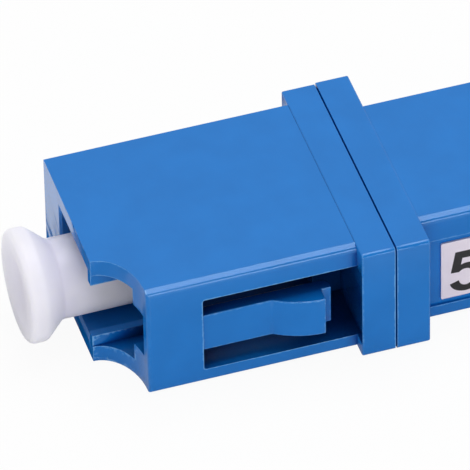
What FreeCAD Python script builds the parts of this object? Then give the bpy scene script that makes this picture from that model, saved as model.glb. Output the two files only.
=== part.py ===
import FreeCAD, Part
import math
import os

V = FreeCAD.Vector

# Frame of the part, in millimetres. X runs along the fibre from the front plug to the rear plug,
# Y = 0 and Z = 0 are the fibre axis, and X = 0 is the flange face that seats on the panel.
# The key side, which carries the keyways and the label, faces -Y. Z is up.

# Outer sizes of the front housing
BODY_HEIGHT = 6.50
FRONT_LENGTH = 12.36
FRONT_KEY_Y = 5.82
FRONT_BACK_Y = 4.91
LOW_EDGE_RADIUS = 0.15
BACK_EDGE_RADIUS = 0.08

# Upper long edge on the key side: a narrow flat, then a curve that runs out into the side
EDGE_FLAT_WIDTH = 0.22
EDGE_FLAT_DROP = 0.115
EDGE_CURVE_WIDTH = 0.10
EDGE_CURVE_DROP = 0.277

# Flange, moulded half on each housing
FLANGE_HALF = 1.72
FLANGE_KEY_PROUD = 0.81
FLANGE_BACK_PROUD = 0.98
REAR_HALF_STEP = 0.09
FLANGE_PROUD_Z = 0.04
FLANGE_EDGE_RADIUS = 0.20
FLANGE_RIM_RADIUS = 0.09
WELD_GAP = 0.045
WELD_GAP_DEPTH = 0.30
WELD_GAP_BACK_DEPTH = 0.06

# Outer sizes of the rear housing
REAR_KEY_Y = 5.10
REAR_BACK_Y = 3.65

# Port, the same in both ends
PORT_SIZE = 4.70
PORT_HEIGHT = 4.60
PORT_DEPTH = 11.16
PORT_LEAD_IN = 0.12
RIB_THICKNESS = 0.40
RIB_CHAMFER = 0.30
KEY_SLOT_HEIGHT = 3.30
CATCH_DEPTH = 4.65
BRIDGE_THICKNESS = 0.62
LEDGE_WIDTH = 0.95
LEDGE_GAP = 2.60
NOTCH_LENGTH = 1.88
NOTCH_WIDTH = 3.02
NOTCH_EDGE_RADIUS = 0.22

# Panel latch arm and the window it stands in
WINDOW_HEIGHT = 4.49
WINDOW_DROP = 0.245
KEY_WINDOW_DEPTH = 3.30
BACK_WINDOW_DEPTH = 1.75
WINDOW_CORNER_RADIUS = 0.12
WINDOW_FLANGE_RELIEF = 0.22
LATCH_WIDTH = 2.23
LATCH_RECESS = 0.15
LATCH_THICKNESS = 0.65
LATCH_TIP_TO_FLANGE = 1.25
PANEL_SPACE = 1.75
NOSE_LENGTH = 2.60
NOSE_HEIGHT = 0.75
NOSE_FOOT_RADIUS = 0.45
LATCH_TIP_RADIUS = 0.35

# Optical stack on the fibre axis
STACK_CENTRE_X = 4.10
FERRULE_RADIUS = 0.625
FERRULE_LENGTH = 7.00
FERRULE_END_CHAMFER = 0.12
FIBRE_RADIUS = 0.0625
COLLAR_LENGTH = 2.00
HOLDER_BASE_RADIUS = 2.10
HOLDER_BASE_LENGTH = 2.90
BARREL_RADIUS = 1.45
BARREL_LENGTH = 3.40
BARREL_BORE_RADIUS = 0.87
BARREL_LIP = 0.40
BARREL_LIP_RADIUS = 0.72
SLEEVE_LENGTH = 5.80
SLEEVE_WALL = 0.185
SLEEVE_SLIT = 0.30
BARREL_TIP_CHAMFER = 0.20
BARREL_LIP_CHAMFER = 0.12
SEAT_CLEARANCE = 0.02
SEAT_OVERCUT = 0.50

# Dust plugs
PLUG_HEAD_RADIUS = 2.83
PLUG_HEAD_STANDOFF = 2.91
PLUG_RIM_LENGTH = 0.90
PLUG_RIM_ROUND = 0.30
BEND_STEPS = 4
PLUG_DISH = 0.22
PLUG_DISH_MARGIN = 0.42
PLUG_NECK_STANDOFF = 1.10
PLUG_SHAFT_RADIUS = 1.99
PLUG_TIP_RADIUS = 1.94
PLUG_TIP_CHAMFER = 0.15
PLUG_TIP_CLEARANCE = 0.40
PLUG_GRIP_CLEARANCE = 0.03
PLUG_FLOOR = 1.60

# Value label and the shallow recess it lies in
LABEL_FROM_FLANGE = 1.06
LABEL_LENGTH = 6.40
LABEL_HEIGHT = 3.60
LABEL_DROP = 0.395
LABEL_THICKNESS = 0.10
LABEL_RECESS = 0.12
LABEL_MARGIN = 0.33
LABEL_FOOT_MARGIN = 0.33

# Places that follow from the sizes
TOP = BODY_HEIGHT / 2
FRONT_X = -FRONT_LENGTH
SEAM_X = FLANGE_HALF
FLANGE_REAR_X = 2 * FLANGE_HALF
REAR_X = 2 * STACK_CENTRE_X - FRONT_X
FRONT_PORT_FLOOR = FRONT_X + PORT_DEPTH
REAR_PORT_FLOOR = REAR_X - PORT_DEPTH
LATCH_ROOT_X = FRONT_X + CATCH_DEPTH
LATCH_TIP_X = -LATCH_TIP_TO_FLANGE
NOSE_END_X = -PANEL_SPACE
NOSE_START_X = NOSE_END_X - NOSE_LENGTH
STACK_HALF = COLLAR_LENGTH / 2 + HOLDER_BASE_LENGTH


def block(x0, x1, y0, y1, z0, z1):
    """Box between two corners."""
    return Part.makeBox(x1 - x0, y1 - y0, z1 - z0, V(x0, y0, z0))


def rod(radius, x0, x1):
    """Cylinder on the fibre axis."""
    return Part.makeCylinder(radius, x1 - x0, V(x0, 0, 0), V(1, 0, 0))


def turned(profile):
    """Solid turned about the fibre axis from (x, radius) points or edges."""
    face = Part.Face(Part.Wire(profile))
    return face.revolve(V(0, 0, 0), V(1, 0, 0), 360)


def line(a, b):
    """Straight edge between two (x, radius) points."""
    return Part.makeLine(V(a[0], a[1], 0), V(b[0], b[1], 0))


def arc(a, m, b):
    """Circular edge through three (x, radius) points."""
    return Part.Arc(V(a[0], a[1], 0), V(m[0], m[1], 0), V(b[0], b[1], 0)).toShape()


def bend(a, corner, b):
    """Soft moulded corner between two (x, radius) points, turned as a few narrow cones."""
    curve = Part.BezierCurve()
    curve.setPoles([V(p[0], p[1], 0) for p in (a, corner, b)])
    spots = [curve.value(i / BEND_STEPS) for i in range(BEND_STEPS + 1)]
    return [Part.makeLine(spots[i], spots[i + 1]) for i in range(BEND_STEPS)]


def chain(points):
    """Closed chain of straight edges through (x, radius) points."""
    return [line(points[i], points[(i + 1) % len(points)]) for i in range(len(points))]


def prism_x(points, x0, x1):
    """Prism along X from a closed (y, z) outline."""
    wire = Part.makePolygon([V(x0, y, z) for y, z in points] + [V(x0, *points[0])])
    return Part.Face(wire).extrude(V(x1 - x0, 0, 0))


def flipped(shape):
    """The same shape turned end for end about the middle of the optical stack."""
    return shape.mirror(V(STACK_CENTRE_X, 0, 0), V(1, 0, 0))


def straight_edges(shape, along, test):
    """Straight edges parallel to one axis whose middle point passes a test."""
    picked = []
    for edge in shape.Edges:
        ends = [v.Point for v in edge.Vertexes]
        if len(ends) != 2 or edge.Curve.TypeId != "Part::GeomLine":
            continue
        run = ends[1] - ends[0]
        if abs(run.dot(along)) < 0.999 * run.Length:
            continue
        if test((ends[0] + ends[1]) * 0.5):
            picked.append(edge)
    return picked


def rounded_bar(x0, x1, y0, y1):
    """Outer bar of a housing, with the shaped upper edge on its key side and small rounds elsewhere."""
    run = V(1, 0, 0)
    bar = block(x0, x1, y0, y1, -TOP, TOP)
    bar = bar.makeFillet(LOW_EDGE_RADIUS, straight_edges(bar, run, lambda p: p.z < 0))
    bar = bar.makeFillet(BACK_EDGE_RADIUS, straight_edges(bar, run, lambda p: p.z > 0 and p.y > TOP / 2))
    flat_foot = V(x0, y0 + EDGE_CURVE_WIDTH, TOP - EDGE_FLAT_DROP)
    flat_head = V(x0, flat_foot.y + EDGE_FLAT_WIDTH, TOP)
    curve_foot = V(x0, y0, flat_foot.z - EDGE_CURVE_DROP)
    # The curve meets the side without a crease, so its centre is level with its foot
    radius = (EDGE_CURVE_WIDTH ** 2 + EDGE_CURVE_DROP ** 2) / (2 * EDGE_CURVE_WIDTH)
    half_turn = math.asin(EDGE_CURVE_DROP / radius) / 2
    middle = V(x0, y0 + radius * (1 - math.cos(half_turn)), curve_foot.z + radius * math.sin(half_turn))
    outside = [V(x0, y0 - 1, curve_foot.z), V(x0, y0 - 1, TOP + 1), V(x0, flat_head.y, TOP + 1)]
    edges = [Part.Arc(curve_foot, middle, flat_foot).toShape(), Part.makeLine(flat_foot, flat_head)]
    edges += Part.makePolygon([curve_foot] + outside + [flat_head]).Edges
    waste = Part.Face(Part.Wire(Part.sortEdges(edges)[0])).extrude(V(x1 - x0, 0, 0))
    return bar.cut(waste)


def key_notch(key_y, inner_y):
    """Quarter ellipse cut away at the front mouth on the key side, rounded where it meets the side."""
    r = NOTCH_EDGE_RADIUS
    corner_x = FRONT_X + NOTCH_LENGTH
    z0 = -TOP - 1
    centre = V(FRONT_X, -key_y + r, z0)
    across = V(FRONT_X, -inner_y, z0)
    along = V(corner_x, -key_y + r, z0)
    ends = [across, along]
    if (along - centre).Length > (across - centre).Length:
        ends = [along, across]
    sweep = Part.ArcOfEllipse(Part.Ellipse(ends[0], ends[1], centre), 0, math.pi / 2).toShape()
    bend = r * (1 - math.sqrt(0.5))
    round_end = V(corner_x + r, -key_y, z0)
    lead = Part.Arc(along, V(corner_x + bend, -key_y + bend, z0), round_end).toShape()
    beyond = -key_y - 1
    ahead = FRONT_X - 1
    outside = Part.makePolygon(
        [round_end, V(corner_x + r, beyond, z0), V(ahead, beyond, z0), V(ahead, -inner_y, z0), across]
    )
    outline = Part.Wire(Part.sortEdges([sweep, lead] + outside.Edges)[0])
    return Part.Face(outline).extrude(V(0, 0, BODY_HEIGHT + 2))


def port(key_y):
    """Everything a connector passes through, cut inward from the front mouth."""
    half_y = PORT_SIZE / 2
    half_z = PORT_HEIGHT / 2
    slot = KEY_SLOT_HEIGHT / 2
    gap = LEDGE_GAP / 2
    rib_y = -half_y - RIB_THICKNESS
    bridge_y = -key_y + BRIDGE_THICKNESS
    catch_x = FRONT_X + CATCH_DEPTH
    socket = prism_x(
        [
            (half_y, half_z),
            (half_y, -half_z),
            (-half_y + RIB_CHAMFER, -half_z),
            (-half_y, -half_z + RIB_CHAMFER),
            (-half_y, half_z - RIB_CHAMFER),
            (-half_y + RIB_CHAMFER, half_z),
        ],
        FRONT_X - 1,
        FRONT_PORT_FLOOR,
    )
    ledge_y = bridge_y + LEDGE_WIDTH
    key_slot = block(FRONT_X - 1, FRONT_PORT_FLOOR, ledge_y, 0, -slot, slot)
    tab_slot = block(FRONT_X - 1, FRONT_PORT_FLOOR, bridge_y, rib_y, -gap, gap)
    lug_way = block(FRONT_X - 1, FRONT_PORT_FLOOR, ledge_y, rib_y, -half_z, half_z)
    lug_room = block(catch_x, FRONT_PORT_FLOOR, bridge_y, 0, -half_z, half_z)
    wide = PORT_LEAD_IN
    mouth = Part.makeLoft(
        [
            Part.makePolygon(
                [
                    V(x, half_y + grow, half_z + grow),
                    V(x, half_y + grow, -half_z - grow),
                    V(x, -half_y, -half_z - grow),
                    V(x, -half_y, half_z + grow),
                    V(x, half_y + grow, half_z + grow),
                ]
            )
            for x, grow in ((FRONT_X, wide), (FRONT_X + wide, 0))
        ],
        True,
    )
    return socket.fuse([key_slot, tab_slot, lug_way, lug_room, mouth])


def half_flange(x0, x1, weld_x):
    """One half of the flange, with a narrow relief round its welded face that shows as the dark seam."""
    y0 = -FRONT_KEY_Y - FLANGE_KEY_PROUD
    y1 = FRONT_BACK_Y + FLANGE_BACK_PROUD + (REAR_HALF_STEP if weld_x == x0 else 0)
    z1 = TOP + FLANGE_PROUD_Z
    plate = block(x0, x1, y0, y1, -z1, z1)
    run = V(1, 0, 0)
    plate = plate.makeFillet(FLANGE_EDGE_RADIUS, straight_edges(plate, run, lambda p: p.y < 0))
    plate = plate.makeFillet(FLANGE_RIM_RADIUS, straight_edges(plate, run, lambda p: p.y > y1 - 0.01))
    free_x = x0 if weld_x == x1 else x1
    wing = (y1 - y0) / 2
    wing_edges = straight_edges(
        plate,
        V(0, 0, 1),
        lambda p: abs(p.x - free_x) < 0.01 and abs(p.y - (y0 + y1) / 2) > wing - 0.01,
    )
    plate = plate.makeFillet(FLANGE_RIM_RADIUS, wing_edges)
    inward = -1 if weld_x == x1 else 1
    a, b = sorted((weld_x, weld_x + inward * WELD_GAP))
    d = WELD_GAP_DEPTH
    relief = block(a, b, y0 - 1, y1 + 1, -z1 - 1, z1 + 1)
    relief = relief.cut(block(a - 1, b + 1, y0 + d, y1 - WELD_GAP_BACK_DEPTH, -z1 + d, z1 - d))
    return plate.cut(relief)


def window_tool(face_y, side):
    """Window cut through one side of the front housing round a latch arm."""
    deep = face_y - side * (KEY_WINDOW_DEPTH if side < 0 else BACK_WINDOW_DEPTH)
    far = face_y + side * (FLANGE_KEY_PROUD if side < 0 else FLANGE_BACK_PROUD)
    z0 = -WINDOW_DROP - WINDOW_HEIGHT / 2
    plan = [
        V(LATCH_ROOT_X, far, z0),
        V(0, far, z0),
        V(WINDOW_FLANGE_RELIEF, face_y, z0),
        V(WINDOW_FLANGE_RELIEF, deep, z0),
        V(LATCH_ROOT_X, deep, z0),
    ]
    tool = Part.Face(Part.makePolygon(plan + plan[:1])).extrude(V(0, 0, WINDOW_HEIGHT))
    corners = straight_edges(tool, V(0, 1, 0), lambda p: abs(p.x - LATCH_ROOT_X) < 0.01)
    return tool.makeFillet(WINDOW_CORNER_RADIUS, corners)


def front_housing():
    """Front half of the welded shell: port, two panel latch windows and half of the flange."""
    bar = rounded_bar(FRONT_X, 0, -FRONT_KEY_Y, FRONT_BACK_Y)
    bar = bar.cut(key_notch(FRONT_KEY_Y, FRONT_KEY_Y - NOTCH_WIDTH))
    shell = bar.fuse(half_flange(0, SEAM_X, SEAM_X))
    shell = shell.cut(port(FRONT_KEY_Y))
    shell = shell.cut([window_tool(-FRONT_KEY_Y, -1), window_tool(FRONT_BACK_Y, 1)])
    bore = rod(BARREL_RADIUS + SEAT_CLEARANCE, FRONT_PORT_FLOOR - SEAT_OVERCUT, SEAM_X)
    base_x = STACK_CENTRE_X - STACK_HALF
    seat = rod(HOLDER_BASE_RADIUS + SEAT_CLEARANCE, base_x, SEAM_X + 1)
    return shell.cut([bore, seat]).removeSplitter()


def rear_housing():
    """Rear half of the welded shell: port, label recess and the other half of the flange."""
    bar = rounded_bar(FLANGE_REAR_X - FLANGE_HALF / 2, REAR_X, -REAR_KEY_Y, REAR_BACK_Y)
    bar = bar.cut(flipped(key_notch(REAR_KEY_Y, FRONT_KEY_Y - NOTCH_WIDTH)))
    shell = bar.fuse(half_flange(SEAM_X, FLANGE_REAR_X, SEAM_X))
    shell = shell.cut(flipped(port(REAR_KEY_Y)))
    label_x = FLANGE_REAR_X + LABEL_FROM_FLANGE
    recess = block(
        FLANGE_REAR_X,
        label_x + LABEL_LENGTH + LABEL_MARGIN,
        -REAR_KEY_Y - 1,
        -REAR_KEY_Y + LABEL_RECESS,
        -LABEL_DROP - LABEL_HEIGHT / 2 - LABEL_FOOT_MARGIN,
        -LABEL_DROP + LABEL_HEIGHT / 2 + LABEL_MARGIN,
    )
    bore = rod(BARREL_RADIUS + SEAT_CLEARANCE, SEAM_X, REAR_PORT_FLOOR + SEAT_OVERCUT)
    seat = rod(HOLDER_BASE_RADIUS + SEAT_CLEARANCE, SEAM_X - 1, STACK_CENTRE_X + STACK_HALF)
    return shell.cut([recess, bore, seat]).removeSplitter()


def latch_arm(face_y, side):
    """Panel latch: a flat springy arm with an S-curved cam nose and a tongue past its shoulder."""
    outer = face_y - side * LATCH_RECESS
    inner = outer - side * LATCH_THICKNESS
    top = outer + side * NOSE_HEIGHT
    # The nose rises in two arcs that meet at one slope and leave both faces tangent
    slope = 2 * math.atan(NOSE_HEIGHT / NOSE_LENGTH)
    crown_radius = NOSE_LENGTH / math.sin(slope) - NOSE_FOOT_RADIUS

    def foot(angle):
        x = NOSE_START_X + NOSE_FOOT_RADIUS * math.sin(angle)
        return (x, outer + side * NOSE_FOOT_RADIUS * (1 - math.cos(angle)))

    def crown(angle):
        x = NOSE_END_X - crown_radius * math.sin(angle)
        return (x, top - side * crown_radius * (1 - math.cos(angle)))

    r = LATCH_TIP_RADIUS
    bend = r * (1 - math.sqrt(0.5))
    edges = [
        line((LATCH_ROOT_X, inner), (LATCH_ROOT_X, outer)),
        line((LATCH_ROOT_X, outer), foot(0)),
        arc(foot(0), foot(slope / 2), foot(slope)),
        arc(crown(slope), crown(slope / 2), crown(0)),
        line(crown(0), (NOSE_END_X, outer)),
        line((NOSE_END_X, outer), (LATCH_TIP_X, outer)),
        line((LATCH_TIP_X, outer), (LATCH_TIP_X, inner + side * r)),
        arc(
            (LATCH_TIP_X, inner + side * r),
            (LATCH_TIP_X - bend, inner + side * bend),
            (LATCH_TIP_X - r, inner),
        ),
        line((LATCH_TIP_X - r, inner), (LATCH_ROOT_X, inner)),
    ]
    arm = Part.Face(Part.Wire(edges)).extrude(V(0, 0, LATCH_WIDTH))
    arm.translate(V(0, 0, -WINDOW_DROP - LATCH_WIDTH / 2))
    return arm


def front_sleeve_holder():
    """Turned holder: a wide base clamped in the shell and a slim barrel round the split sleeve."""
    face_x = STACK_CENTRE_X - COLLAR_LENGTH / 2
    base_x = face_x - HOLDER_BASE_LENGTH
    tip_x = base_x - BARREL_LENGTH
    return turned(
        chain(
            [
                (face_x, BARREL_BORE_RADIUS),
                (face_x, HOLDER_BASE_RADIUS),
                (base_x, HOLDER_BASE_RADIUS),
                (base_x, BARREL_RADIUS),
                (tip_x + BARREL_TIP_CHAMFER, BARREL_RADIUS),
                (tip_x, BARREL_RADIUS - BARREL_TIP_CHAMFER),
                (tip_x, BARREL_LIP_RADIUS + BARREL_LIP_CHAMFER),
                (tip_x + BARREL_LIP_CHAMFER, BARREL_LIP_RADIUS),
                (tip_x + BARREL_LIP, BARREL_LIP_RADIUS),
                (tip_x + BARREL_LIP, BARREL_BORE_RADIUS),
            ]
        )
    )


def front_split_sleeve():
    """Springy ceramic tube with one slit, which lines two ferrules up end to end."""
    x1 = STACK_CENTRE_X - COLLAR_LENGTH / 2
    x0 = x1 - SLEEVE_LENGTH
    outer = FERRULE_RADIUS + SLEEVE_WALL
    tube = rod(outer, x0, x1).cut(rod(FERRULE_RADIUS, x0, x1))
    slit = block(x0 - 1, x1 + 1, -SLEEVE_SLIT / 2, SLEEVE_SLIT / 2, 0, outer + 1)
    return tube.cut(slit)


def attenuator_ferrule():
    """Short ceramic ferrule whose fibre absorbs part of the light."""
    x0 = STACK_CENTRE_X - FERRULE_LENGTH / 2
    x1 = STACK_CENTRE_X + FERRULE_LENGTH / 2
    c = FERRULE_END_CHAMFER
    return turned(
        chain(
            [
                (x0, FIBRE_RADIUS),
                (x0, FERRULE_RADIUS - c),
                (x0 + c, FERRULE_RADIUS),
                (x1 - c, FERRULE_RADIUS),
                (x1, FERRULE_RADIUS - c),
                (x1, FIBRE_RADIUS),
            ]
        )
    )


def doped_fibre():
    """Glass fibre bonded through the ferrule and polished flush with its ends."""
    return rod(FIBRE_RADIUS, STACK_CENTRE_X - FERRULE_LENGTH / 2, STACK_CENTRE_X + FERRULE_LENGTH / 2)


def ferrule_collar():
    """Metal ring pressed on the ferrule and clamped between the two sleeve holders."""
    x0 = STACK_CENTRE_X - COLLAR_LENGTH / 2
    x1 = STACK_CENTRE_X + COLLAR_LENGTH / 2
    return rod(HOLDER_BASE_RADIUS, x0, x1).cut(rod(FERRULE_RADIUS, x0, x1))


def front_dust_plug():
    """Soft plug: dished round head, cone and a hollow shaft that grips the barrel in the port."""
    head_x = FRONT_X - PLUG_HEAD_STANDOFF
    rim_x = head_x + PLUG_RIM_LENGTH
    neck_x = FRONT_X - PLUG_NECK_STANDOFF
    tip_x = FRONT_PORT_FLOOR - PLUG_TIP_CLEARANCE
    floor_x = neck_x + PLUG_FLOOR
    big = PLUG_HEAD_RADIUS
    r = PLUG_RIM_ROUND
    bore = BARREL_RADIUS + PLUG_GRIP_CLEARANCE
    dish = big - PLUG_DISH_MARGIN
    profile = [
        arc((head_x + PLUG_DISH, 0), (head_x + PLUG_DISH * 0.72, dish * 0.55), (head_x, dish)),
        line((head_x, dish), (head_x, big - r)),
        *bend((head_x, big - r), (head_x, big), (head_x + r, big)),
        line((head_x + r, big), (rim_x - r, big)),
        *bend((rim_x - r, big), (rim_x, big), (rim_x, big - r)),
        line((rim_x, big - r), (neck_x, PLUG_SHAFT_RADIUS)),
        line((neck_x, PLUG_SHAFT_RADIUS), (tip_x - PLUG_TIP_CHAMFER, PLUG_TIP_RADIUS)),
        line((tip_x - PLUG_TIP_CHAMFER, PLUG_TIP_RADIUS), (tip_x, PLUG_TIP_RADIUS - PLUG_TIP_CHAMFER)),
        line((tip_x, PLUG_TIP_RADIUS - PLUG_TIP_CHAMFER), (tip_x, bore)),
        line((tip_x, bore), (floor_x, bore)),
        line((floor_x, bore), (floor_x, 0)),
        line((floor_x, 0), (head_x + PLUG_DISH, 0)),
    ]
    return turned(profile)


def value_label():
    """Plain printed sticker with the attenuation value, stuck in its recess on the key side."""
    x0 = FLANGE_REAR_X + LABEL_FROM_FLANGE
    y1 = -REAR_KEY_Y + LABEL_RECESS
    z0 = -LABEL_DROP - LABEL_HEIGHT / 2
    return block(x0, x0 + LABEL_LENGTH, y1 - LABEL_THICKNESS, y1, z0, z0 + LABEL_HEIGHT)


front_holder = front_sleeve_holder()
front_sleeve = front_split_sleeve()
front_plug = front_dust_plug()
nodes = {
    "front_housing": front_housing(),
    "rear_housing": rear_housing(),
    "key_side_latch": latch_arm(-FRONT_KEY_Y, -1),
    "back_side_latch": latch_arm(FRONT_BACK_Y, 1),
    "front_sleeve_holder": front_holder,
    "rear_sleeve_holder": flipped(front_holder),
    "front_split_sleeve": front_sleeve,
    "rear_split_sleeve": flipped(front_sleeve),
    "attenuator_ferrule": attenuator_ferrule(),
    "doped_fibre": doped_fibre(),
    "ferrule_collar": ferrule_collar(),
    "front_dust_plug": front_plug,
    "rear_dust_plug": flipped(front_plug),
    "value_label": value_label(),
}

os.makedirs("parts", exist_ok=True)
for name, shape in nodes.items():
    shape.exportStep("parts/" + name + ".step")
    print(name, shape.isValid(), len(shape.Solids), round(shape.Volume, 3))
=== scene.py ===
import bpy
import bmesh
import math
from mathutils import Matrix, Vector
from mathutils.geometry import tessellate_polygon


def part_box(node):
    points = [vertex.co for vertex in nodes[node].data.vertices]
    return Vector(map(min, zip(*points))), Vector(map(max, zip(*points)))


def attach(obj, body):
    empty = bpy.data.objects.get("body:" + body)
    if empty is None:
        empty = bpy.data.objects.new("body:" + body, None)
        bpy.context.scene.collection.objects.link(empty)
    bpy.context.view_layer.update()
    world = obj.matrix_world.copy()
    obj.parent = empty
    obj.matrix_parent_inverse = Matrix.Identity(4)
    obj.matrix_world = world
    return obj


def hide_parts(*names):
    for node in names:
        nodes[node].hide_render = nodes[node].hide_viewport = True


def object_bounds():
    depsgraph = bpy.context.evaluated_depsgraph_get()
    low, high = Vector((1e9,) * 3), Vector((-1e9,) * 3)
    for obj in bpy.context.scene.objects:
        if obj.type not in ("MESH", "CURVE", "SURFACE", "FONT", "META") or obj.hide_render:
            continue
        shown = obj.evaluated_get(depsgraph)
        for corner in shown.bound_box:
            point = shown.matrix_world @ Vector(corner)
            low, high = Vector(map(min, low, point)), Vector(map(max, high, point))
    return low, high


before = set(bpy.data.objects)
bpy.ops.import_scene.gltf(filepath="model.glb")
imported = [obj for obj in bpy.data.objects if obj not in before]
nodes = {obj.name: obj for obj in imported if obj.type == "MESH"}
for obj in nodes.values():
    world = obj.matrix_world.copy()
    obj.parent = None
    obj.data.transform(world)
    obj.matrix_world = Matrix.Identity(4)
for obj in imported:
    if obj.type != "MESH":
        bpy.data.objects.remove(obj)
cad_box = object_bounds()


# Attenuator ferrule and its fibre
# The ceramic ferrule in the middle of the part, with a light absorbing glass fibre bonded through it
# and both ends polished flush. It is ground zirconia, so it is smooth and faintly cream.
def skin_of(material):
    """The surface shader of a finish."""
    return material.node_tree.nodes["Principled BSDF"]


def on_piece(tree):
    """The place on the piece, in metres."""
    return tree.nodes.new("ShaderNodeTexCoord").outputs["Object"]


def clouds(tree, place, scale, detail):
    """A soft cloudy pattern about 0.5, as fine as the given scale."""
    noise = tree.nodes.new("ShaderNodeTexNoise")
    noise.inputs["Scale"].default_value = scale
    noise.inputs["Detail"].default_value = detail
    tree.links.new(place, noise.inputs["Vector"])
    return noise.outputs["Fac"]


def scaled(tree, value, start, stop, first=0.0, last=1.0, blend="LINEAR"):
    """Takes a value between start and stop over to one between first and last."""
    step = tree.nodes.new("ShaderNodeMapRange")
    step.interpolation_type = blend
    step.inputs["From Min"].default_value = start
    step.inputs["From Max"].default_value = stop
    step.inputs["To Min"].default_value = first
    step.inputs["To Max"].default_value = last
    tree.links.new(value, step.inputs["Value"])
    return step.outputs["Result"]


def bumps(tree, height, strength, depth):
    """A relief from a pattern of heights."""
    relief = tree.nodes.new("ShaderNodeBump")
    relief.inputs["Strength"].default_value = strength
    relief.inputs["Distance"].default_value = depth
    tree.links.new(height, relief.inputs["Height"])
    return relief.outputs["Normal"]


def finish(name, colours, patches, gloss, grain, strength):
    """A finish with slow colour drift, uneven gloss and a fine relief, all at the given scales."""
    grain_depth = 0.00001
    made = bpy.data.materials.new(name)
    made.use_nodes = True
    tree = made.node_tree
    skin = skin_of(made)
    place = on_piece(tree)
    tint = tree.nodes.new("ShaderNodeValToRGB")
    for stop, position, colour in zip(tint.color_ramp.elements, (0.32, 0.68), colours):
        stop.position = position
        stop.color = (*colour, 1)
    fine = clouds(tree, place, grain, 4.0)
    tree.links.new(clouds(tree, place, patches, 3.0), tint.inputs["Fac"])
    tree.links.new(tint.outputs["Color"], skin.inputs["Base Color"])
    tree.links.new(scaled(tree, fine, 0.3, 0.7, *gloss), skin.inputs["Roughness"])
    tree.links.new(bumps(tree, fine, strength, grain_depth), skin.inputs["Normal"])
    return made


def dress(node, material):
    """Puts a finish on a piece of the frame."""
    piece = nodes[node]
    piece.data.materials.clear()
    piece.data.materials.append(material)
    return piece


def break_edges(piece, width, sharp=30):
    """Joins the facets of a piece and puts a small round on its edges over the given angle."""
    weld = piece.modifiers.new("joined facets", "WELD")
    weld.merge_threshold = 1e-6
    flat = piece.modifiers.new("flat faces", "DECIMATE")
    flat.decimate_type = "DISSOLVE"
    flat.angle_limit = math.radians(0.5)
    flat.delimit = {"MATERIAL"}
    edge = piece.modifiers.new("edge break", "BEVEL")
    edge.width = width
    edge.segments = 2
    edge.limit_method = "ANGLE"
    edge.angle_limit = math.radians(sharp)
    even = piece.modifiers.new("even shading", "WEIGHTED_NORMAL")
    even.mode = "FACE_AREA"
    even.weight = 100
    piece.data.polygons.foreach_set("use_smooth", [True] * len(piece.data.polygons))


ceramic_edge, fibre_edge = 0.00002, 0.000004
zirconia = finish(
    "ground zirconia", ((0.80, 0.77, 0.70), (0.86, 0.84, 0.79)), 900.0, (0.10, 0.18), 30000.0, 0.02
)
skin_of(zirconia).inputs["Subsurface Weight"].default_value = 0.15
skin_of(zirconia).inputs["Subsurface Radius"].default_value = (0.0004, 0.0003, 0.0002)
break_edges(dress("attenuator_ferrule", zirconia), ceramic_edge)

doped_glass = finish(
    "doped glass", ((0.16, 0.20, 0.18), (0.22, 0.25, 0.22)), 20000.0, (0.03, 0.08), 60000.0, 0.02
)
break_edges(dress("doped_fibre", doped_glass), fibre_edge)

# Ferrule collar
# A nickel plated ring pressed on the middle of the ferrule, which the two holders clamp. It is turned
# on a lathe, and its plating is bright with a slightly uneven gloss.
collar_edge = 0.00004
nickel = finish(
    "turned nickel", ((0.60, 0.58, 0.54), (0.70, 0.68, 0.64)), 1500.0, (0.18, 0.34), 24000.0, 0.05
)
skin_of(nickel).inputs["Metallic"].default_value = 1.0
break_edges(dress("ferrule_collar", nickel), collar_edge)

# Split sleeves
# Two springy tubes with one slit each, which line the ferrules up end to end. They are ground from the
# same zirconia as the ferrule and sit in the holders' barrels.
for end in ("front", "rear"):
    break_edges(dress(end + "_split_sleeve", zirconia), ceramic_edge)

# Sleeve holders
# Two moulded holders that clamp the collar in the shell and keep the split sleeves in their barrels.
# They are the same plastic as the shell, in a slightly deeper and duller blue.
holder_edge = 0.00004
holder_blue = finish(
    "holder blue", ((0.010, 0.110, 0.400), (0.014, 0.125, 0.440)), 700.0, (0.32, 0.44), 14000.0, 0.08
)
for end in ("front", "rear"):
    break_edges(dress(end + "_sleeve_holder", holder_blue), holder_edge)


# Front housing
# The half shell with the front port, both latch windows and half of the flange. It is injection moulded in
# glossy blue plastic, and its mould edges carry a tiny break that catches the light. Painted highlights
# line its edges and painted shade darkens its hollows and creases.
def moulded_gloss(material, waves, depth):
    """A cool plastic shine with the slight unevenness that a mould leaves on a flat wall."""
    tree = material.node_tree
    skin = skin_of(material)
    skin.inputs["IOR"].default_value = 1.5
    skin.inputs["Specular Tint"].default_value = (0.85, 0.97, 1.0, 1)
    sink_marks = clouds(tree, on_piece(tree), waves, 2.0)
    grain = skin.inputs["Normal"].links[0].from_node
    tree.links.new(bumps(tree, sink_marks, 1.0, depth), grain.inputs["Normal"])


def worked(tree, operation, *values):
    """The result of one sum on patterns or plain numbers."""
    step = tree.nodes.new("ShaderNodeMath")
    step.operation = operation
    for value, socket in zip(values, step.inputs):
        if isinstance(value, bpy.types.NodeSocket):
            tree.links.new(value, socket)
        else:
            socket.default_value = value
    return step.outputs[0]


def parts_of(tree, vector):
    """The X, Y and Z parts of a place or a direction."""
    axes = tree.nodes.new("ShaderNodeSeparateXYZ")
    tree.links.new(vector, axes.inputs[0])
    return axes.outputs


def weaken(tree, socket, factor):
    """Multiplies what reaches a socket of the shader by a factor or a tint."""
    weaker = tree.nodes.new("ShaderNodeVectorMath")
    weaker.operation = "MULTIPLY"
    tree.links.new(socket.links[0].from_socket, weaker.inputs[0])
    tree.links.new(factor, weaker.inputs[1])
    tree.links.new(weaker.outputs[0], socket)


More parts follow.
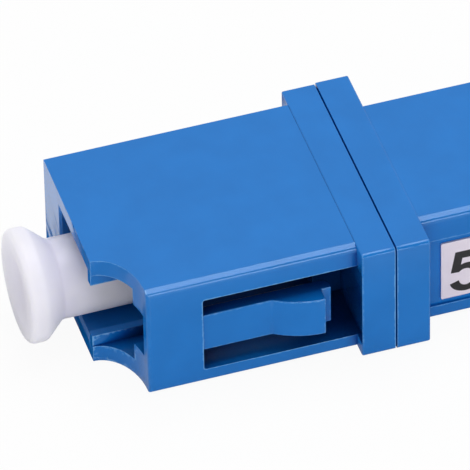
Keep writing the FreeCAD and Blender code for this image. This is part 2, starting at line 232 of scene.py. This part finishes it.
def paint_edge_highlights(material, reach, highlight_spread, colour, share):
    """Paints a highlight into the colour along the outer corners, as a ragged line that runs up to the
    given times wider.
    """
    tree = material.node_tree
    base = skin_of(material).inputs["Base Color"]
    corner = tree.nodes.new("ShaderNodeAmbientOcclusion")
    corner.inside = True
    corner.only_local = True
    corner.samples = 8
    # A noise breaks the painted highlight line up into a ragged one
    highlight_breakup = clouds(tree, on_piece(tree), 4000.0, 3.0)
    ragged = scaled(tree, highlight_breakup, 0.45, 0.62, reach * 0.8, reach * highlight_spread)
    tree.links.new(ragged, corner.inputs["Distance"])
    amount = scaled(tree, corner.outputs["AO"], 0.95, 0.50, 0.0, share)
    # The painted highlight line shows only on faces that are turned to the key side or the back side
    facing = tree.nodes.new("ShaderNodeNewGeometry").outputs["Normal"]
    sideways = worked(tree, "ABSOLUTE", parts_of(tree, facing)["Y"])
    amount = worked(tree, "MULTIPLY", amount, scaled(tree, sideways, 0.0, 0.6))
    paler = tree.nodes.new("ShaderNodeMix")
    paler.data_type = "RGBA"
    paler.inputs["B"].default_value = (*colour, 1)
    tree.links.new(amount, paler.inputs["Factor"])
    tree.links.new(base.links[0].from_socket, paler.inputs["A"])
    tree.links.new(paler.outputs["Result"], base)


def paint_hollow_shade(material, reach, alone, shut, clear, deepest, half):
    """Paints shade into the colour inside narrow hollows, as cast by the piece alone or by all pieces round
    it.
    """
    tree = material.node_tree
    hollow = tree.nodes.new("ShaderNodeAmbientOcclusion")
    hollow.only_local = alone
    hollow.samples = 8
    hollow.inputs["Distance"].default_value = reach
    depth = tree.nodes.new("ShaderNodeValToRGB")
    ramp = depth.color_ramp
    ramp.elements[0].position = shut
    ramp.elements[0].color = (*deepest, 1)
    ramp.elements[1].position = clear
    ramp.elements[1].color = (1, 1, 1, 1)
    middle = ramp.elements.new((shut + clear) / 2)
    middle.color = (*half, 1)
    tree.links.new(hollow.outputs["AO"], depth.inputs["Fac"])
    weaken(tree, skin_of(material).inputs["Base Color"], depth.outputs["Color"])
    return hollow.outputs["AO"]


def moulded_blue(name, pale, highlight_spread, reach, shut, clear, alone):
    """The blue moulding plastic, with painted highlights of the given strength along its edges and painted
    shade in its hollows.
    """
    edge_reach, highlight_blue = 0.00007, (0.19, 0.47, 0.82)
    hollow_shade_navy, hollow_shade_half = (0.09, 0.11, 0.15), (0.34, 0.38, 0.62)
    crease_reach, crease_shut, crease_clear = 0.00018, 0.30, 0.75
    crease_shade_navy, crease_shade_half = (0.60, 0.78, 0.95), (0.80, 0.89, 0.97)
    blue = finish(
        name, ((0.004, 0.155, 0.510), (0.005, 0.169, 0.550)), 500.0, (0.09, 0.15), 16000.0, 0.04
    )
    moulded_gloss(blue, 700.0, 0.000010)
    paint_edge_highlights(blue, edge_reach, highlight_spread, highlight_blue, pale)
    paint_hollow_shade(blue, reach, alone, shut, clear, hollow_shade_navy, hollow_shade_half)
    # Painted shade: creases and the seam get a darker colour and less shine than open faces
    crease = paint_hollow_shade(
        blue, crease_reach, False, crease_shut, crease_clear, crease_shade_navy, crease_shade_half
    )
    shine = scaled(blue.node_tree, crease, crease_shut, crease_clear, 0.0, 0.5)
    blue.node_tree.links.new(shine, skin_of(blue).inputs["Specular IOR Level"])
    return blue


def rub_marks_and_shade(material, tilt, size, dulled, darkened):
    """Streaks that plugs rub dull and darker, with painted shade that grades them thicker towards the key
    side and the lower side of the port.
    """
    tree = material.node_tree
    skin = skin_of(material)
    place = on_piece(tree)
    along = tree.nodes.new("ShaderNodeMapping")
    along.vector_type = "TEXTURE"
    along.inputs["Rotation"].default_value = (tilt, 0, 0)
    along.inputs["Scale"].default_value = size
    tree.links.new(place, along.inputs["Vector"])
    streaks = clouds(tree, along.outputs["Vector"], 1.0, 3.0)
    axes = parts_of(tree, place)
    key_side = scaled(tree, axes["Y"], 0.002, -0.003)
    lower_side = scaled(tree, axes["Z"], 0.0013, -0.0024)
    shade_and_rub_side = worked(tree, "MAXIMUM", key_side, lower_side)
    rubbed_and_shaded = scaled(tree, worked(tree, "MULTIPLY_ADD", shade_and_rub_side, 0.40, streaks), 0.56, 0.76)
    for socket, lost in (("Specular IOR Level", dulled), ("Base Color", darkened)):
        weaken(tree, skin.inputs[socket], scaled(tree, rubbed_and_shaded, 0.0, 1.0, 1.0, 1.0 - lost))


# Copies of one blue that differ only in painted light: deeper painted shade in the hollows round the
# latches, wider painted highlights on the ledges, and rub marks with painted shade at the mouth
shell_blue = moulded_blue("shell blue", 0.85, 1.6, 0.0036, 0.34, 0.74, True)
hollow_blue = moulded_blue("shell blue with painted hollow shade", 0.85, 1.6, 0.005, 0.25, 0.67, False)
ledge_blue = moulded_blue("shell blue with wide painted highlights", 0.85, 5.0, 0.0036, 0.34, 0.74, True)
mouth_blue = moulded_blue("shell blue at the mouth", 0.85, 1.6, 0.0036, 0.34, 0.74, True)
rub_marks_and_shade(mouth_blue, math.radians(-58), (0.0025, 0.00026, 0.0022), 1.0, 0.20)
front = dress("front_housing", shell_blue)
for other_blue in (hollow_blue, ledge_blue, mouth_blue):
    front.data.materials.append(other_blue)
in_window, on_ledge, at_mouth = 1, 2, 3
low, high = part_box("front_housing")
# The walls round the latches lie behind the side faces, from the arms' roots to the flange, and get the
# deeper painted shade
wall, root_x, flange_x = 0.0004, -0.0078, 0.0003
# The mouth is the end face, with rub marks and painted shade, and the ledges and the thumb cut in the lower
# half of the port get wider painted highlights
ledge_x, ledge_z, floor_z, rib_y, cut_x = -0.0090, -0.0015, -0.0024, 0.00279, -0.01049
side_y = max(abs(v.co.y) for v in front.data.vertices if v.co.x < -wall)
for face in front.data.polygons:
    x, y, z = face.center
    behind_sides = abs(y) < side_y - wall and low[2] + wall < z < high[2] - wall
    end_face = face.normal.x < -0.9 and x < low[0] + wall
    ledge = x < ledge_x and floor_z < z < ledge_z and (face.normal.z > 0.9 or abs(y) < rib_y)
    cut = x < cut_x and y < -rib_y and z < ledge_z and abs(face.normal.z) < 0.5
    if root_x < x < flange_x and behind_sides:
        face.material_index = in_window
    if ledge or cut:
        face.material_index = on_ledge
    if end_face:
        face.material_index = at_mouth
edge_break, facet_angle = 0.00006, 20
break_edges(front, edge_break, facet_angle)

# Panel latches
# Two springy arms moulded in one with the front housing. Each stands in its window, and its curved
# nose rides over the panel's edge before the shoulder snaps behind it.
# The latches get the strongest painted edge highlights, and painted shade from all pieces round them
latch_blue = moulded_blue("latch blue", 1.0, 1.8, 0.005, 0.14, 0.60, False)
for side in ("key_side", "back_side"):
    break_edges(dress(side + "_latch", latch_blue), edge_break, facet_angle)

# Rear housing
# The slimmer half shell with the rear port, the label recess and the other half of the flange. It is
# moulded in the same blue and welded to the front housing at the dark seam.
# The rear housing gets fainter painted edge highlights and weaker painted hollow shade
rear_blue = moulded_blue("rear shell blue", 0.60, 1.6, 0.0036, 0.10, 0.55, True)
break_edges(dress("rear_housing", rear_blue), edge_break, facet_angle)

# Dust plugs
# Soft polyethylene plugs, one in each port. Each has a dished round head to pull on, a cone and a
# hollow shaft that grips the holder's barrel. The plastic is milky and lets a little light through.
mm = 0.001
plug_head, plug_rim, plug_dish, dish_share = 2.83, 0.90, 0.22, 0.66
plug_neck_x, plug_shaft, plug_tip = 1.81, 1.99, 1.94
plug_length, plug_bore, plug_floor_x = 13.67, 1.48, 3.41
dish_round, head_round, cone_round, neck_round = 1.0, 0.30, 0.45, 0.30
tip_round, bore_round, floor_round = 0.12, 0.06, 0.20
plug_turns, dish_steps, shaft_steps = 144, 12, 6


def bend_corner(before, corner, after, radius, steps=6):
    """Points of a small arc that rounds one corner of a turned profile."""
    c = Vector(corner)
    a = (Vector(before) - c).normalized()
    b = (Vector(after) - c).normalized()
    half = a.angle(b) / 2
    reach = radius / math.tan(half)
    centre = c + (a + b).normalized() * (radius / math.sin(half))
    start = c + a * reach - centre
    end = c + b * reach - centre
    spread = start.angle(end)
    points = []
    for i in range(steps + 1):
        t = i / steps
        point = (start * math.sin((1 - t) * spread) + end * math.sin(t * spread)) / math.sin(spread)
        points.append(tuple(centre + point))
    return points


def plug_profile():
    """Half section of a plug as (distance from the head, radius) points, from axis to axis."""
    dish_edge = plug_head * dish_share
    points = []
    for i in range(dish_steps):
        t = i / dish_steps
        points.append((plug_dish * (1 - t * t) * (1 - 0.25 * t * t), dish_edge * t))
    points += bend_corner((0.045, dish_edge - 0.25), (0, dish_edge), (0, plug_head), dish_round)
    points += bend_corner((0, 0), (0, plug_head), (1, plug_head), head_round, 10)
    cone_foot = (plug_neck_x, plug_shaft)
    points += bend_corner((0, plug_head), (plug_rim - 0.04, plug_head), cone_foot, cone_round, 8)
    points += bend_corner((plug_rim, plug_head), cone_foot, (plug_length, plug_tip), neck_round, 8)
    for i in range(1, shaft_steps):
        x = plug_neck_x + (plug_length - plug_neck_x) * i / shaft_steps
        points.append((x, plug_shaft - (plug_shaft - plug_tip) * i / shaft_steps))
    bore_floor = (plug_floor_x, plug_bore)
    points += bend_corner((0, plug_tip), (plug_length, plug_tip), (plug_length, 0), tip_round)
    points += bend_corner((plug_length, 2), (plug_length, plug_bore), (0, plug_bore), bore_round, 4)
    points += bend_corner((plug_length, plug_bore), bore_floor, (plug_floor_x, 0), floor_round)
    points.append((plug_floor_x, 0.0))
    return points


def set_down(name, mesh):
    """Makes a piece of a finished mesh."""
    bmesh.ops.recalc_face_normals(mesh, faces=mesh.faces)
    data = bpy.data.meshes.new(name)
    mesh.to_mesh(data)
    mesh.free()
    piece = bpy.data.objects.new(name, data)
    bpy.context.scene.collection.objects.link(piece)
    return piece


def turn_plug(name, mouth, along):
    """Turns the plug's half section about the fibre axis."""
    mesh = bmesh.new()
    rings = []
    for x, radius in plug_profile():
        place_x = (mouth + along * x) * mm
        if radius < 1e-6:
            rings.append([mesh.verts.new((place_x, 0, 0))])
            continue
        ring = []
        for i in range(plug_turns):
            angle = 2 * math.pi * i / plug_turns
            y, z = math.cos(angle) * radius * mm, math.sin(angle) * radius * mm
            ring.append(mesh.verts.new((place_x, y, z)))
        rings.append(ring)
    for one, two in zip(rings, rings[1:]):
        for i in range(plug_turns):
            j = (i + 1) % plug_turns
            if len(one) == 1:
                mesh.faces.new((one[0], two[j], two[i]))
            elif len(two) == 1:
                mesh.faces.new((one[i], one[j], two[0]))
            else:
                mesh.faces.new((one[i], one[j], two[j], two[i]))
    for face in mesh.faces:
        face.smooth = True
    return set_down(name, mesh)


milky = finish(
    "milky polyethylene", ((0.735, 0.715, 0.810), (0.765, 0.745, 0.840)), 350.0, (0.36, 0.48), 9000.0, 0.06
)
skin_of(milky).inputs["Subsurface Weight"].default_value = 1.0
skin_of(milky).inputs["Subsurface Radius"].default_value = (0.0030, 0.0030, 0.0027)
skin_of(milky).inputs["Subsurface Scale"].default_value = 1.0
skin_of(milky).inputs["Specular IOR Level"].default_value = 0.3
for end, along in (("front", 1), ("rear", -1)):
    node = end + "_dust_plug"
    low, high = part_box(node)
    plug = turn_plug(end + "_plug_turned", (low[0] if along > 0 else high[0]) / mm, along)
    plug.data.materials.append(milky)
    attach(plug, end + "_plug")
    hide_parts(node)

# Value label
# A white paper sticker in a shallow recess on the key side, printed in black with the attenuation in
# decibels. Its corners are die cut round, and the print is a thin film on the paper.
label_corner, corner_steps = 0.06, 8
low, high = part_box("value_label")
label_x0, label_x1 = low[0] / mm, high[0] / mm
label_z0, label_z1 = low[2] / mm, high[2] / mm
label_y = low[1] / mm


def plate(name, loops, y0, y1):
    """A thin plate with the given (x, z) outlines, the later ones as holes, between two depths."""
    flat = [[Vector((x, z, 0)) for x, z in loop] for loop in loops]
    triangles = tessellate_polygon(flat)
    mesh = bmesh.new()
    front = [mesh.verts.new((p.x * mm, y0 * mm, p.y * mm)) for loop in flat for p in loop]
    rear = [mesh.verts.new((p.x * mm, y1 * mm, p.y * mm)) for loop in flat for p in loop]
    for a, b, c in triangles:
        mesh.faces.new((front[a], front[b], front[c]))
        mesh.faces.new((rear[c], rear[b], rear[a]))
    start = 0
    for loop in flat:
        for i in range(len(loop)):
            a, b = start + i, start + (i + 1) % len(loop)
            mesh.faces.new((front[a], front[b], rear[b], rear[a]))
        start += len(loop)
    return set_down(name, mesh)


outline = []
for cx, cz, first in (
    (label_x0 + label_corner, label_z0 + label_corner, 180),
    (label_x1 - label_corner, label_z0 + label_corner, 270),
    (label_x1 - label_corner, label_z1 - label_corner, 0),
    (label_x0 + label_corner, label_z1 - label_corner, 90),
):
    for i in range(corner_steps + 1):
        angle = math.radians(first + 90 * i / corner_steps)
        outline.append((cx + label_corner * math.cos(angle), cz + label_corner * math.sin(angle)))
paper = finish(
    "label paper", ((0.775, 0.700, 0.780), (0.810, 0.737, 0.815)), 1200.0, (0.50, 0.62), 22000.0, 0.10
)
sticker = plate("label_sticker", [outline], label_y, high[1] / mm)
sticker.data.materials.append(paper)
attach(sticker, "shell")
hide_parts("value_label")


def curve(a, b, c, d, steps=12):
    """Points along one smooth curve of a printed figure, without its last point."""
    points = []
    for i in range(steps):
        t = i / steps
        u = 1 - t
        points.append(tuple(
            u * u * u * p + 3 * u * u * t * q + 3 * u * t * t * r + t * t * t * s
            for p, q, r, s in zip(a, b, c, d)
        ))
    return points


figure_five = (
    [(0.135, 1.000), (0.625, 1.000), (0.625, 0.825), (0.275, 0.825), (0.247, 0.660)]
    + curve((0.247, 0.660), (0.285, 0.680), (0.325, 0.690), (0.365, 0.690))
    + curve((0.365, 0.690), (0.540, 0.690), (0.680, 0.560), (0.680, 0.350))
    + curve((0.680, 0.350), (0.680, 0.145), (0.545, -0.015), (0.345, -0.015))
    + curve((0.345, -0.015), (0.160, -0.015), (0.040, 0.095), (0.020, 0.255))
    + [(0.205, 0.275)]
    + curve((0.205, 0.275), (0.220, 0.185), (0.275, 0.130), (0.345, 0.130))
    + curve((0.345, 0.130), (0.430, 0.130), (0.487, 0.205), (0.487, 0.345))
    + curve((0.487, 0.345), (0.487, 0.475), (0.430, 0.545), (0.340, 0.545))
    + curve((0.340, 0.545), (0.285, 0.545), (0.240, 0.520), (0.200, 0.470))
    + [(0.045, 0.492)]
)
letter_d_outer = (
    [(0.700, 1.000), (0.700, 0.000), (0.520, 0.000), (0.520, 0.095)]
    + curve((0.520, 0.095), (0.470, 0.020), (0.395, -0.020), (0.310, -0.020))
    + curve((0.310, -0.020), (0.150, -0.020), (0.030, 0.125), (0.030, 0.365))
    + curve((0.030, 0.365), (0.030, 0.610), (0.150, 0.745), (0.315, 0.745))
    + curve((0.315, 0.745), (0.390, 0.745), (0.455, 0.710), (0.505, 0.645))
    + [(0.505, 0.645), (0.505, 1.000)]
)
letter_d_eye = (
    curve((0.365, 0.595), (0.280, 0.595), (0.225, 0.510), (0.225, 0.375))
    + curve((0.225, 0.375), (0.225, 0.210), (0.280, 0.130), (0.370, 0.130))
    + curve((0.370, 0.130), (0.455, 0.130), (0.515, 0.215), (0.515, 0.360))
    + curve((0.515, 0.360), (0.515, 0.520), (0.455, 0.595), (0.365, 0.595))
)
letter_b_outer = (
    [(0.090, 0.000), (0.090, 1.000)]
    + curve((0.490, 1.000), (0.680, 1.000), (0.790, 0.910), (0.790, 0.745))
    + curve((0.790, 0.745), (0.790, 0.635), (0.735, 0.560), (0.650, 0.525))
    + curve((0.650, 0.525), (0.775, 0.490), (0.850, 0.405), (0.850, 0.285))
    + curve((0.850, 0.285), (0.850, 0.110), (0.720, 0.000), (0.510, 0.000))
)
letter_b_upper = (
    [(0.290, 0.590), (0.290, 0.835)]
    + curve((0.440, 0.835), (0.540, 0.835), (0.590, 0.800), (0.590, 0.715))
    + curve((0.590, 0.715), (0.590, 0.630), (0.540, 0.590), (0.440, 0.590))
)
letter_b_lower = (
    [(0.290, 0.165), (0.290, 0.430)]
    + curve((0.460, 0.430), (0.580, 0.430), (0.640, 0.385), (0.640, 0.300))
    + curve((0.640, 0.300), (0.640, 0.210), (0.580, 0.165), (0.470, 0.165))
)
ink = finish(
    "printing ink", ((0.012, 0.011, 0.014), (0.020, 0.018, 0.021)), 2500.0, (0.42, 0.56), 26000.0, 0.08
)
print_x, print_z = label_x0 + 0.37, label_z0 + 0.30
print_height, print_film = 2.56, 0.006
for name, loops, start, size in (
    ("figure_five", [figure_five], 0.00, 1.00),
    ("letter_d", [letter_d_outer, letter_d_eye], 0.80, 0.68),
    ("letter_B", [letter_b_outer, letter_b_upper, letter_b_lower], 1.33, 0.68),
):
    placed = [
        [(print_x + (start + size * x) * print_height, print_z + size * z * print_height) for x, z in loop]
        for loop in loops
    ]
    mark = plate(name, placed, label_y - print_film, label_y + print_film)
    mark.data.materials.append(ink)
    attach(mark, "shell")

# Studio
# A white table in a white cloth tent that is open at the front, with a softbox overhead, one at the left
# and two low fills. The camera looks down on the key side from the left, through a long lens.
table_z, table_reach = cad_box[0][2], 2
table_mesh = bpy.data.meshes.new("table")
table_mesh.from_pydata(
    [(x * table_reach, y * table_reach, table_z) for x, y in ((-1, -1), (1, -1), (1, 1), (-1, 1))],
    [],
    [(0, 1, 2, 3)],
)
table = bpy.data.objects.new("table", table_mesh)
bpy.context.scene.collection.objects.link(table)


def seen_white(tree, share):
    """Share of white that camera and mirror rays see of the stage, none for the light on the part."""
    rays = tree.nodes.new("ShaderNodeLightPath").outputs
    seen = rays["Is Camera Ray"]
    for kind in ("Is Glossy Ray", "Is Transmission Ray"):
        seen = worked(tree, "MAXIMUM", seen, rays[kind])
    return rays["Is Camera Ray"], worked(tree, "MULTIPLY", seen, share)


table_share, table_grey = 0.94, 0.80
table_white = bpy.data.materials.new("table white")
table_white.use_nodes = True
tree = table_white.node_tree
tree.nodes.remove(tree.nodes["Principled BSDF"])
matt = tree.nodes.new("ShaderNodeBsdfDiffuse")
matt.inputs["Color"].default_value = (table_grey, table_grey, table_grey, 1)
glow = tree.nodes.new("ShaderNodeEmission")
both = tree.nodes.new("ShaderNodeMixShader")
by_camera, seen = seen_white(tree, table_share)
# Mirror rays see the table dimmer close to the part, as in the part's own soft shadow
shade_y, shade_near, shade_far, shade_dim = 0.004, 0.006, 0.012, 0.40
beside = worked(tree, "ABSOLUTE", worked(tree, "ADD", parts_of(tree, on_piece(tree))["Y"], shade_y))
shade = scaled(tree, beside, shade_near, shade_far, shade_dim, 1.0, "SMOOTHSTEP")
tree.links.new(worked(tree, "MAXIMUM", shade, by_camera), glow.inputs["Strength"])
tree.links.new(seen, both.inputs["Fac"])
tree.links.new(matt.outputs[0], both.inputs[1])
tree.links.new(glow.outputs[0], both.inputs[2])
tree.links.new(both.outputs[0], tree.nodes["Material Output"].inputs["Surface"])
table_mesh.materials.append(table_white)

tent_share, tent_front, tent_back = 0.15, 0.16, 0.66
tent = bpy.data.worlds.new("white tent")
bpy.context.scene.world = tent
tent.use_nodes = True
tree = tent.node_tree
around = tree.nodes["Background"]
around.inputs["Color"].default_value = (1, 1, 1, 1)
by_camera, seen = seen_white(tree, tent_share)
# The tent is bright behind and beside the part and dim at its open front, where the camera stands
towards = parts_of(tree, tree.nodes.new("ShaderNodeTexCoord").outputs["Generated"])
cloth = scaled(tree, towards["Y"], -0.6, 0.2, tent_front, tent_back, "SMOOTHSTEP")
mirrored = worked(tree, "MULTIPLY_ADD", cloth, seen, cloth)
tree.links.new(worked(tree, "MAXIMUM", mirrored, by_camera), around.inputs["Strength"])

part_middle = (0.0, 0.0, 0.0)
for name, place, aim, wide, deep, watts in (
    ("overhead softbox", (0.10, 0.07, 0.40), (0.10, 0.07, 0.0), 0.26, 0.32, 1.08),
    ("right fill", (0.30, -0.56, 0.07), part_middle, 0.40, 0.12, 0.82),
    ("middle fill", (-0.14, -0.60, 0.07), part_middle, 0.40, 0.12, 0.88),
    ("left softbox", (-0.52, -0.20, 0.28), part_middle, 0.44, 0.40, 0.74),
):
    light = bpy.data.lights.new(name, "AREA")
    light.shape = "RECTANGLE"
    light.size = wide
    light.size_y = deep
    light.energy = watts
    lamp = bpy.data.objects.new(name, light)
    lamp.location = place
    lamp.rotation_euler = (Vector(place) - Vector(aim)).to_track_quat("Z", "Y").to_euler()
    bpy.context.scene.collection.objects.link(lamp)

azimuth, elevation, roll = math.radians(-16.818), math.radians(42.617), math.radians(-1.221)
lens_away, lens_right, lens_up = 400 * mm, 1.758 * mm, 1.024 * mm
back = Vector(
    (math.sin(azimuth) * math.cos(elevation), -math.cos(azimuth) * math.cos(elevation), math.sin(elevation))
)
right = Vector((math.cos(azimuth), math.sin(azimuth), 0))
up = back.cross(right)
right, up = right * math.cos(roll) + up * math.sin(roll), up * math.cos(roll) - right * math.sin(roll)
aim = Vector((-6.36, -0.75, 0.05)) * mm
eye = aim + back * lens_away + right * lens_right + up * lens_up
lens = bpy.data.cameras.new("camera")
lens.sensor_width = 36.0
lens.lens = 636.9
lens.clip_start = 0.01
lens.clip_end = 20.0
camera = bpy.data.objects.new("camera", lens)
camera.matrix_world = Matrix.Translation(eye) @ Matrix((right, up, back)).transposed().to_4x4()
bpy.context.scene.collection.objects.link(camera)
bpy.context.scene.camera = camera
bpy.context.scene.view_settings.view_transform = "Standard"
